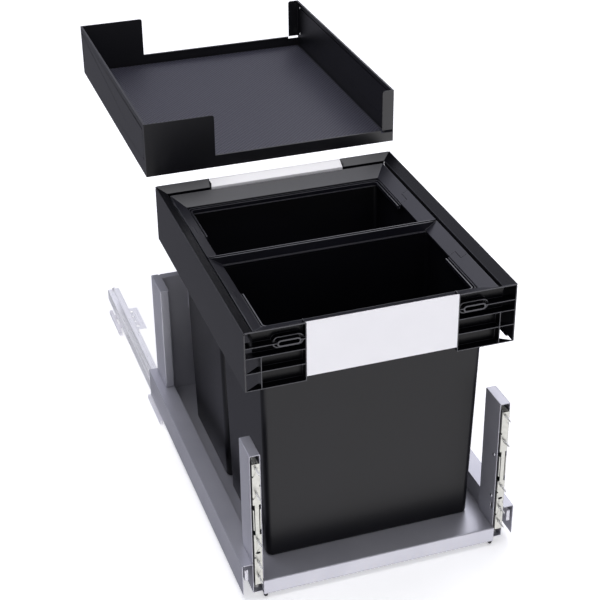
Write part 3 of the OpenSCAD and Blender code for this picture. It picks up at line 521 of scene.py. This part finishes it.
# Bag frames
# ABS rings that drop over the bins' rims and clamp the bag's edge. Each is two mouldings that meet in stepped seams,
# with a sloping top that is a little glossier than the collar.
for end in ("front", "rear"):
    # Their rounded edges take the paler edge grey, a painted highlight
    finish_node(end + "_frame_outer", [frame_abs, abs_painted_edge_highlight], 0.35, fold=0.8)
    finish_node(end + "_frame_inner", [frame_abs, abs_painted_edge_highlight], 0.3)

# A blade hangs from each ring's end and carries a bead along its foot, over which the bag is drawn; the bead takes the
# silver coat, so it shows as a thin light line
blade_reach, blade_low, blade_high, blade_thick, bead = 152.3, 395.0, 405.6, 1.4, 2.0
ring_end_width = 26.0
for end, inward in (("front", 1), ("rear", -1)):
    ring_low, ring_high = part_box(end + "_frame_outer")
    blade_y = (ring_low.y if inward > 0 else ring_high.y) / MM + inward * ring_end_width
    rail_parts = []
    for thick, tall, y, z, material in (
        (blade_thick, blade_high - blade_low, blade_y, (blade_low + blade_high) / 2, bin_pp),
        (bead, bead, blade_y + inward * bead / 2, blade_low, silver_coat),
    ):
        bpy.ops.object.select_all(action="DESELECT")
        bpy.ops.mesh.primitive_cube_add(
            size=1, location=Vector((0, y, z)) * MM, scale=Vector((2 * blade_reach, thick, tall)) * MM
        )
        bpy.ops.object.transform_apply(location=True, rotation=True, scale=True)
        part = bpy.context.active_object
        part.data.materials.append(material)
        soften(part, 0.3)
        rail_parts.append(part)
    joined(rail_parts)
    rail_parts[0].name = end + "_bag_rail"
    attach(rail_parts[0], body_of[end + "_frame_outer"])


# Organiser shelf and its mat
# One sheet of steel, laser-cut, its walls and corner flanges folded up, and powder-coated black; its rounded edges
# take a paler black, a painted highlight. The mat lies loose in it: soft vinyl, embossed with small diamonds so that
# bottles don't slide; the diamonds' tops are painted paler, a painted highlight on the relief.
black_coat = powder_coat("black_powder_coated_steel", "#0a0a0f", "#0c0c12", 0.4, 1.4)
# A paler black for the rounded edges: a painted highlight
black_coat_painted_edge_highlight = powder_coat("black_coat_painted_edge_highlights", "#2c2c30", "#343438", 0.4, 1.4)
finish_node("shelf_tray", [black_coat, black_coat_painted_edge_highlight], 0.45)

mat_vinyl, tree, surface, place = begin_finish("embossed_vinyl", Roughness=0.36, Specular_IOR_Level=0.35)
diamond_pitch, diamond_height = 4.8, 0.7
turned = {"Rotation": (0, 0, radians(45)), "Scale": (pi / diamond_pitch,) * 3}
along = add(tree, "Mapping", {"Vector": place, **turned}).outputs[0]
parts = add(tree, "SeparateXYZ", {0: along})
waves = [add(tree, "Math", {0: parts.outputs[i]}, operation="SINE").outputs[0] for i in (0, 1)]
peaks = add(tree, "Math", {0: waves[0], 1: waves[1]}, operation="MULTIPLY").outputs[0]
peaks = add(tree, "Math", {0: peaks}, operation="ABSOLUTE").outputs[0]
worn = add(tree, "TexNoise", {"Vector": place, "Scale": 1 / 25.0, "Detail": 3.0}).outputs["Fac"]
height = add(tree, "MapRange", {"Value": peaks, "From Min": 0.1, "From Max": 0.7}).outputs[0]
low_tone = add(tree, "Mix", {0: worn, 6: linear("#040406"), 7: linear("#07070a")}, data_type="RGBA").outputs[2]
# The diamonds' tops are painted paler than their hollows, a painted highlight; the bump is the relief itself
tint = add(tree, "Mix", {0: height, 6: low_tone, 7: linear("#464655")}, data_type="RGBA").outputs[2]
bump = add(tree, "Bump", {"Height": height, "Distance": diamond_height * MM, "Strength": 1.0})
tree.links.new(tint, surface.inputs["Base Color"])
tree.links.new(bump.outputs[0], surface.inputs["Normal"])
finish_node("shelf_mat", [mat_vinyl], 0.5)


# Studio
# A pale floor without an edge in view, three soft lights, and a room that is dim at the horizon and bright high up
# behind the object. The floor glows a little, as a light table does, so that the object's shadow on it stays faint.
floor_material, tree, surface, place = begin_finish("pale_floor", Roughness=0.9, Specular_IOR_Level=0.1)
speckle = add(tree, "TexNoise", {"Vector": place, "Scale": 1 / 400.0, "Detail": 2.0}).outputs["Fac"]
tint = add(tree, "Mix", {0: speckle, 6: linear("#f4f4f5"), 7: linear("#f7f7f8")}, data_type="RGBA").outputs[2]
tree.links.new(tint, surface.inputs["Base Color"])
surface.inputs["Emission Color"].default_value = linear("#ffffff")
surface.inputs["Emission Strength"].default_value = 0.45
bpy.ops.object.select_all(action="DESELECT")
bpy.ops.mesh.primitive_plane_add(size=60, location=(0, 0, -0.2 * MM))
floor = bpy.context.active_object
floor.name = "floor"
floor.data.materials.append(floor_material)
floor.visible_glossy = False

world = bpy.data.worlds.new("studio")
world.use_nodes = True
tree = world.node_tree
facing = add(tree, "SeparateXYZ", {0: add(tree, "TexCoord", {}).outputs["Generated"]})
horizon, low_light, high_light = 0.1, 2.4, 1.3
in_front = add(tree, "MapRange", {"Value": facing.outputs[1], "From Min": -0.2, "From Max": -0.75}).outputs[0]
below = add(tree, "MapRange", {"Value": facing.outputs[2], "From Min": 0.05, "From Max": -0.2}).outputs[0]
behind = add(tree, "MapRange", {"Value": facing.outputs[1], "From Min": 0.1, "From Max": 0.6}).outputs[0]
above = add(tree, "MapRange", {"Value": facing.outputs[2], "From Min": 0.3, "From Max": 0.62}).outputs[0]
off_horizon = add(tree, "Math", {0: facing.outputs[2], 1: horizon}, operation="SUBTRACT").outputs[0]
off_horizon = add(tree, "Math", {0: off_horizon}, operation="ABSOLUTE").outputs[0]
room_range = {"From Min": 0.08, "From Max": 0.28, "To Min": 0.1, "To Max": 0.32}
room = add(tree, "MapRange", {"Value": off_horizon, **room_range}).outputs[0]
low_glow = add(tree, "Math", {0: in_front, 1: below}, operation="MULTIPLY").outputs[0]
high_glow = add(tree, "Math", {0: behind, 1: above}, operation="MULTIPLY").outputs[0]
strength = add(tree, "Math", {0: low_glow, 1: low_light, 2: room}, operation="MULTIPLY_ADD").outputs[0]
strength = add(tree, "Math", {0: high_glow, 1: high_light, 2: strength}, operation="MULTIPLY_ADD").outputs[0]
sky = add(tree, "Mix", {0: low_glow, 6: linear("#eaeafa"), 7: linear("#f6f5f6")}, data_type="RGBA").outputs[2]
tree.links.new(sky, tree.nodes["Background"].inputs["Color"])
tree.links.new(strength, tree.nodes["Background"].inputs["Strength"])
bpy.context.scene.world = world


def softbox(name, place, aim, width, height, radiance):
    """A rectangular light whose face has this radiance."""
    light = bpy.data.lights.new(name, "AREA")
    light.shape = "RECTANGLE"
    light.size, light.size_y = width, height
    light.energy = radiance * pi * width * height
    lamp = bpy.data.objects.new(name, light)
    lamp.matrix_world = (
        Matrix.Translation(place) @ (Vector(aim) - Vector(place)).to_track_quat("-Z", "Y").to_matrix().to_4x4()
    )
    bpy.context.scene.collection.objects.link(lamp)


middle = (0.0, -0.5, 0.25)
softbox("overhead", (0.0, -0.6, 2.7), middle, 2.5, 2.5, 2.4)
softbox("front", (-0.7, -3.6, 1.2), middle, 1.8, 1.0, 1.4)
softbox("back_right", (2.1, 2.9, 3.0), middle, 1.9, 1.5, 2.2)
